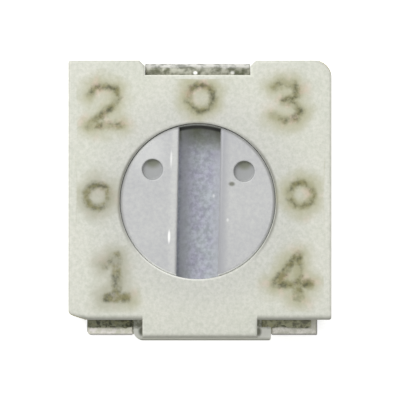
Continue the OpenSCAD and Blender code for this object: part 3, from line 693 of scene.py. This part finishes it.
# Dark residue next to the housing's wall and in the corners by the lug, painted darker also as the shade
# there
ragged = math_node(tree, "MULTIPLY_ADD", noise(tree, place, 6.0, 3.0, 0.6, 22.0), 0.12, -0.06)
residue_and_shade = times(tree, ramp(tree, math_node(tree, "ADD", y, ragged), -2.43, -2.36), ramp(tree, z, 0.66, 0.69))
patchy = ramp(tree, noise(tree, place, 11.0, 3.0, 0.6, 23.0), 0.36, 0.60, 0.45, 1.0)
residue_and_shade = times(tree, residue_and_shade, patchy)
for middle in ((-1.066, -2.46, 0.7), (1.150, -2.472, 0.7)):
    corner_dirt_and_shade = times(tree, spot(tree, place, middle, (0.085, 0.13, 9.0)), ramp(tree, z, 0.50, 0.62))
    residue_and_shade = larger(tree, residue_and_shade, corner_dirt_and_shade)
plastic = mixed(tree, times(tree, residue_and_shade, 0.85), plastic, rgb(92, 94, 74))
# Painted shade along the foot's front edge, which faces away from the light
front_rim = times(tree, ramp(tree, y, -2.635, -2.60, 1.0, 0.0), ramp(tree, z, 0.64, 0.69, 0.0, 0.75))
plastic = mixed(tree, front_rim, plastic, rgb(120, 120, 112))
set_inputs(tree, shader, Base_Color=plastic, Roughness=0.6, Normal=skin.outputs["Normal"])
base.data.materials.append(base_material)
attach(base, "case")
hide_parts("base")


# Terminals: bronze strip with dull tin plating, bent down and back under the base. Dark, greenish residue
# has settled next to the housing and is painted darker as the housing wall's shade too, the first terminal's
# tin carries a painted reflection, the outer edges carry a painted line of shade, and one corner is sheared
# round.
STRIP_EDGE, SHEARED_CORNER, SHEARED_R = 0.022, (-2.10, -2.54), 0.09


def round_corner(piece, corner, r):
    """Rounds one lower left corner of a piece in plan."""
    bm = bmesh.new()
    bm.from_mesh(piece.data)
    for k in (0.30, 0.52, 0.72, 0.88, 1.0):
        for axis, normal in ((0, (1, 0, 0)), (1, (0, 1, 0))):
            at = [0, 0, 0]
            at[axis] = (corner[axis] + r * k) * MM
            bmesh.ops.bisect_plane(bm, geom=bm.verts[:] + bm.edges[:] + bm.faces[:], plane_co=at,
                                   plane_no=normal)
    middle = Vector(((corner[0] + r) * MM, (corner[1] + r) * MM))
    for v in bm.verts:
        away = v.co.xy - middle
        if away.x < 0 and away.y < 0 and away.length > r * MM:
            v.co.xy = middle + away.normalized() * r * MM
    bmesh.ops.remove_doubles(bm, verts=bm.verts, dist=0.0002 * MM)
    bm.to_mesh(piece.data)
    bm.free()


terminal_material, tree, shader = new_material("tinned_strip")
place = place_in_mm(tree)
x, y, z = axes(tree, place)
at_back = math_node(tree, "GREATER_THAN", y, 0.0)
on_top = ramp(tree, z, 0.34, 0.56)
# Distance out from the housing's wall, in front and in the notch, which is 0.15 further from the axis
from_wall = math_node(tree, "SUBTRACT", math_node(tree, "ABSOLUTE", y),
                      math_node(tree, "MULTIPLY_ADD", at_back, 0.15, -FRONT))
coarse = noise(tree, place, 5.0, 4.0, 0.65, 31.0)
fine = noise(tree, place, 17.0, 4.0, 0.65, 32.0)
tin = mixed(tree, ramp(tree, coarse, 0.35, 0.65), rgb(190, 188, 178), rgb(214, 211, 203))
tin = mixed(tree, ramp(tree, fine, 0.42, 0.62, 0.0, 0.45), tin, rgb(150, 150, 128))
# Painted reflection: the first terminal's tin is painted brighter
bright = mixed(tree, ramp(tree, noise(tree, place, 6.5, 3.0, 0.6, 34.0), 0.40, 0.62), rgb(214, 213, 194),
               rgb(250, 244, 242))
tin = mixed(tree, ramp(tree, x, -1.2, -1.0, 0.6, 0.0), tin, bright)
# Residue next to the housing, darker also as painted shade of the housing's wall
residue_and_shade_end = math_node(tree, "MULTIPLY_ADD", at_back, -0.05, 0.15)
wander = math_node(tree, "MULTIPLY_ADD", coarse, 0.10, -0.05)
out_by = math_node(tree, "ADD", from_wall, wander)
residue_and_shade = ramp(tree, math_node(tree, "SUBTRACT", out_by, residue_and_shade_end), -0.025, 0.03, 1.0, 0.0)
residue_and_shade = times(tree, times(tree, residue_and_shade, on_top),
                ramp(tree, math_node(tree, "ADD", x, wander), 2.10, 2.17, 1.0, 0.2))
residue_and_shade_colour = mixed(tree, ramp(tree, fine, 0.40, 0.60), rgb(64, 68, 40), rgb(140, 142, 118))
amount = times(tree, residue_and_shade, math_node(tree, "MULTIPLY_ADD", at_back, -0.25, 0.92))
colour = mixed(tree, amount, tin, residue_and_shade_colour)
blotch = noise(tree, place, 8.0, 2.0, 0.5, 33.0)
dull = mixed(tree, ramp(tree, blotch, 0.32, 0.66), rgb(92, 94, 76), rgb(166, 166, 154))
dull = mixed(tree, ramp(tree, out_by, 0.12, 0.17), dull,
             mixed(tree, ramp(tree, blotch, 0.34, 0.60), rgb(146, 147, 140), rgb(204, 203, 198)))
colour = mixed(tree, times(tree, at_back, on_top), colour, dull)
# Painted shade: a dark line along the terminals' outer and side edges, which turn away from the light
outer_line = ramp(tree, math_node(tree, "MULTIPLY_ADD", at_back, -9.0, from_wall), 0.250, 0.275)
side_line = larger(tree, ramp(tree, x, 2.235, 2.262), ramp(tree, x, -2.098, -2.075, 1.0, 0.0))
outer_line = times(tree, larger(tree, outer_line, side_line), 0.7)
colour = mixed(tree, outer_line, colour, rgb(104, 104, 104))
for middle, strength in (((-0.046, 2.44, 0.7), 1.0), ((0.66, 2.44, 0.7), 0.6)):
    glint = spot(tree, place, middle, (0.060, 0.050, 9.0), 0.2)
    colour = mixed(tree, times(tree, glint, strength), colour, rgb(248, 248, 246))
set_inputs(tree, shader, Base_Color=colour, Metallic=0.6, Normal=bump_of(tree, fine, 0.5, 0.00001),
           Roughness=math_node(tree, "MULTIPLY_ADD", residue_and_shade, 0.25, 0.42))
for number in (1, 2, 3):
    terminal = softened(f"terminal_{number}", f"terminal_{number}_strip", STRIP_EDGE)
    if number == 1:
        round_corner(terminal, SHEARED_CORNER, SHEARED_R)
    terminal.data.materials.append(terminal_material)
    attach(terminal, "case")
    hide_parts(f"terminal_{number}")


# Flux: what is left of the soldering, a thin dark crust that bridges each front terminal and the foot beside
# it and has crept down the crack between them. It broke off along an uneven front. Its dark colour is also
# painted shade from the housing's wall.
CRUST_BOTTOM, CRUST_TOP, CRUST_EDGE, CRUST_BACK, CRUST_FRONT = 0.64, 0.716, 0.012, -2.252, -2.375
TONGUE_BOTTOM, TONGUE_TOP, TONGUE_EDGE, TONGUE_BACK = 0.40, 0.690, 0.005, -2.254
# Height and closeness of the waves in the broken front, and how far each moves along from piece to piece
FRONT_WAVES = [(0.022, 9.0, 1.0), (0.014, 23.0, 2.1), (0.007, 61.0, 3.7)]


def flux_crust(name, left, right, crack, seed):
    """Crust from a terminal's side to the lug's, with a tongue in the crack between terminal and foot."""
    count = 60
    front = []
    for i in range(count + 1):
        x = left + (right - left) * i / count
        waves = sum(height * math.sin(close * x + shift * seed) for height, close, shift in FRONT_WAVES)
        front.append((x, CRUST_FRONT - waves))
    plan = front + [(right, CRUST_BACK), (left, CRUST_BACK)]
    tongue = [(crack - 0.016, -2.515), (crack + 0.012, -2.525), (crack + 0.014, TONGUE_BACK),
              (crack - 0.018, TONGUE_BACK)]
    crust_stack = [(plan, CRUST_BOTTOM)] + rim(plan, CRUST_TOP, CRUST_EDGE, steps=2)
    tongue_stack = [(tongue, TONGUE_BOTTOM)] + rim(tongue, TONGUE_TOP, TONGUE_EDGE, steps=2)
    stacks = [crust_stack, tongue_stack]
    return solid(name, stacks, [(z, [loop], []) for stack in stacks for loop, z in (stack[0], stack[-1])])


flux_and_shade_material, tree, shader = new_material("flux_crust")
place = place_in_mm(tree)
x, y, z = axes(tree, place)
blotch = noise(tree, place, 5.5, 4.0, 0.65, 35.0)
grit = noise(tree, place, 22.0, 3.0, 0.65, 36.0)
olive = ramp(tree, noise(tree, place, 3.6, 3.0, 0.6, 38.0), 0.50, 0.66, 0.0, 0.45)
burnt = ramp(tree, noise(tree, place, 6.5, 2.0, 0.6, 37.0), 0.56, 0.66, 0.0, 0.85)
crust = mixed(tree, ramp(tree, blotch, 0.40, 0.58), rgb(58, 62, 34), rgb(152, 154, 128))
crust = mixed(tree, ramp(tree, grit, 0.46, 0.60, 0.0, 0.7), crust, rgb(164, 162, 128))
crust = mixed(tree, olive, crust, rgb(146, 138, 84))
crust = mixed(tree, burnt, crust, rgb(30, 30, 16))
crust = mixed(tree, ramp(tree, x, -1.2, -1.0, 0.35, 0.0), crust, rgb(40, 44, 24))
crust = mixed(tree, ramp(tree, x, 1.0, 1.2, 0.0, 0.22), crust, rgb(190, 188, 160))
crust = mixed(tree, ramp(tree, y, -2.45, -2.41, 1.0, 0.0), crust, rgb(186, 184, 172))
set_inputs(tree, shader, Base_Color=crust, Roughness=ramp(tree, grit, 0.35, 0.65, 0.35, 0.6),
           Normal=bump_of(tree, blotch, 0.6, 0.000012))
for number, left, right, crack in ((1, -2.085, -1.245, -1.225), (3, 1.215, 2.15, 1.395)):
    crust_piece = flux_crust(f"flux_{number}", left, right, crack, number)
    crust_piece.data.materials.append(flux_and_shade_material)
    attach(crust_piece, "case")


# Epoxy seam: the thin line of cured, slightly yellow epoxy between base and housing, with small bubbles.
def dress(name, material):
    """Gives a CAD node its finish in place of the one it was packed with."""
    cad[name].data.materials.clear()
    cad[name].data.materials.append(material)


epoxy_material, tree, shader = new_material("epoxy")
place = place_in_mm(tree)
bubbles = node(tree, "ShaderNodeTexVoronoi", Vector=place, Scale=9.0).outputs["Distance"]
cloud = noise(tree, place, 4.0, 3.0, 0.6, 41.0)
resin = mixed(tree, ramp(tree, cloud, 0.35, 0.65), rgb(178, 172, 140), rgb(204, 200, 172))
resin = mixed(tree, ramp(tree, bubbles, 0.08, 0.2, 0.6, 0.0), resin, rgb(226, 224, 208))
set_inputs(tree, shader, Base_Color=resin, Roughness=0.22, Normal=bump_of(tree, bubbles, 0.4, 0.000005))
dress("epoxy_seam", epoxy_material)


# Ceramic element: white sintered alumina with its fine grain, the black cermet film fired on it, and the
# silver films that lead from the track's ends to the solder in the castellations.
alumina_material, tree, shader = new_material("alumina")
place = place_in_mm(tree)
grains = node(tree, "ShaderNodeTexVoronoi", Vector=place, Scale=40.0).outputs["Distance"]
cloud = noise(tree, place, 2.0, 3.0, 0.55, 51.0)
white = mixed(tree, ramp(tree, cloud, 0.35, 0.65), rgb(238, 237, 229), rgb(247, 246, 240))
white = mixed(tree, ramp(tree, grains, 0.1, 0.7, 0.0, 0.35), white, rgb(222, 220, 210))
set_inputs(tree, shader, Base_Color=white, Roughness=0.55, Normal=bump_of(tree, grains, 0.3, 0.000003))
dress("substrate", alumina_material)

cermet_material, tree, shader = new_material("cermet")
place = place_in_mm(tree)
round_lines = node(tree, "ShaderNodeCombineXYZ", in0=from_the_axis(tree, place)).outputs[0]
wipe_marks = noise(tree, round_lines, 30.0, 2.0, 0.5, 61.0)
specks = noise(tree, place, 45.0, 3.0, 0.7, 62.0)
black = mixed(tree, ramp(tree, specks, 0.42, 0.7), rgb(34, 32, 32), rgb(74, 70, 66))
black = mixed(tree, ramp(tree, wipe_marks, 0.5, 0.7, 0.0, 0.5), black, rgb(92, 88, 82))
set_inputs(tree, shader, Base_Color=black, Roughness=ramp(tree, wipe_marks, 0.4, 0.7, 0.55, 0.25))
dress("resistive_track", cermet_material)

silver_material, tree, shader = new_material("silver_film")
fired = noise(tree, place_in_mm(tree), 24.0, 4.0, 0.65, 71.0)
silver = mixed(tree, ramp(tree, fired, 0.35, 0.7), rgb(206, 204, 196), rgb(166, 162, 148))
set_inputs(tree, shader, Base_Color=silver, Metallic=0.85, Roughness=ramp(tree, fired, 0.3, 0.7, 0.3, 0.5))
for name in ("end_pad_1", "end_pad_3"):
    dress(name, silver_material)

solder_material, tree, shader = new_material("solder")
frost = noise(tree, place_in_mm(tree), 12.0, 4.0, 0.6, 81.0)
bright = mixed(tree, ramp(tree, frost, 0.35, 0.7), rgb(196, 197, 196), rgb(158, 158, 154))
set_inputs(tree, shader, Base_Color=bright, Metallic=1.0, Roughness=ramp(tree, frost, 0.3, 0.7, 0.18, 0.42))
for name in ("solder_joint_1", "solder_joint_3"):
    dress(name, solder_material)


# Sealing ring: silicone rubber, red-brown and a little greasy, squeezed flat where it bears on its gland.
silicone_material, tree, shader = new_material("silicone")
grease = noise(tree, place_in_mm(tree), 3.0, 3.0, 0.6, 91.0)
rubber = mixed(tree, ramp(tree, grease, 0.35, 0.65), rgb(122, 56, 42), rgb(146, 76, 58))
set_inputs(tree, shader, Base_Color=rubber, Roughness=ramp(tree, grease, 0.35, 0.65, 0.35, 0.6))
dress("sealing_ring", silicone_material)


# Wiper: one stamping of springy copper alloy with a dull sheen, rolled in the length of its sheet.
alloy_material, tree, shader = new_material("contact_alloy")
place = place_in_mm(tree)
rolled = node(tree, "ShaderNodeVectorMath", operation="MULTIPLY", in0=place, in1=(60, 2, 2)).outputs[0]
lines = noise(tree, rolled, 1.0, 3.0, 0.6, 101.0)
tarnish = noise(tree, place, 5.0, 3.0, 0.6, 102.0)
sheet = mixed(tree, ramp(tree, lines, 0.35, 0.65), rgb(214, 186, 122), rgb(196, 166, 104))
sheet = mixed(tree, ramp(tree, tarnish, 0.5, 0.7, 0.0, 0.4), sheet, rgb(150, 118, 74))
set_inputs(tree, shader, Base_Color=sheet, Metallic=1.0, Roughness=ramp(tree, lines, 0.35, 0.65, 0.26, 0.4))
dress("wiper", alloy_material)


# Camera, light and table: straight down and far away, with soft light from the back and a little from the
# left. The table is white, and left out where it is seen from below, so that the terminals' feet can be
# looked at.
PICTURE_WIDTH, PICTURE_MIDDLE, CAMERA_HEIGHT, TABLE_HALF = 7.596, (0.0434, 0.0266), 50.0, 300.0
scene = bpy.context.scene
scene.view_settings.view_transform = "Standard"
camera = bpy.data.objects.new("camera", bpy.data.cameras.new("camera"))
camera.data.type = "ORTHO"
camera.data.ortho_scale = PICTURE_WIDTH * MM
camera.data.clip_start, camera.data.clip_end = 0.001, 1.0
camera.location = Vector((*PICTURE_MIDDLE, CAMERA_HEIGHT)) * MM
scene.collection.objects.link(camera)
scene.camera = camera

table = bpy.data.objects.new("table", bpy.data.meshes.new("table"))
reach = TABLE_HALF * MM
table_corners = [(-reach, -reach, 0), (reach, -reach, 0), (reach, reach, 0), (-reach, reach, 0)]
table.data.from_pydata(table_corners, [], [(0, 1, 2, 3)])
scene.collection.objects.link(table)
table_material, tree, shader = new_material("table")
white = mixed(tree, noise(tree, place_in_mm(tree), 0.6, 3.0, 0.5, 1.0), (0.95, 0.95, 0.95, 1),
              (0.97, 0.97, 0.97, 1))
shown = node(tree, "ShaderNodeLightPath").outputs["Is Camera Ray"]
set_inputs(tree, shader, Base_Color=white, Roughness=0.8, Emission_Color=(1, 1, 1, 1),
           Emission_Strength=math_node(tree, "MULTIPLY_ADD", shown, 0.25, 0.32))
from_below = node(tree, "ShaderNodeMixShader", in0=node(tree, "ShaderNodeNewGeometry").outputs["Backfacing"],
                  in1=shader.outputs[0], in2=tree.nodes.new("ShaderNodeBsdfTransparent").outputs[0])
ending = next(n for n in tree.nodes if n.type == "OUTPUT_MATERIAL")
tree.links.new(from_below.outputs[0], ending.inputs["Surface"])
table.data.materials.append(table_material)

world = bpy.data.worlds.new("studio")
scene.world = world
world.use_nodes = True
tree = world.node_tree
tree.nodes.clear()
rays = node(tree, "ShaderNodeLightPath").outputs
seen = larger(tree, rays["Is Camera Ray"], rays["Is Glossy Ray"])
background = node(tree, "ShaderNodeBackground", Color=(1, 1, 1, 1),
                  Strength=math_node(tree, "MULTIPLY_ADD", seen, 0.42, 0.58))
tree.links.new(background.outputs[0], tree.nodes.new("ShaderNodeOutputWorld").inputs["Surface"])

LAMP_TOWARD, LAMP_DISTANCE, LAMP_SIZE, LAMP_POWER = (-0.60, 0.85, 1.15), 60.0, 34.0, 0.0225
lamp = bpy.data.objects.new("key", bpy.data.lights.new("key", "AREA"))
lamp.data.size = LAMP_SIZE * MM
lamp.data.energy = LAMP_POWER
toward = Vector(LAMP_TOWARD).normalized()
lamp.location = toward * LAMP_DISTANCE * MM
lamp.rotation_mode = "QUATERNION"
lamp.rotation_quaternion = toward.to_track_quat("Z", "Y")
scene.collection.objects.link(lamp)
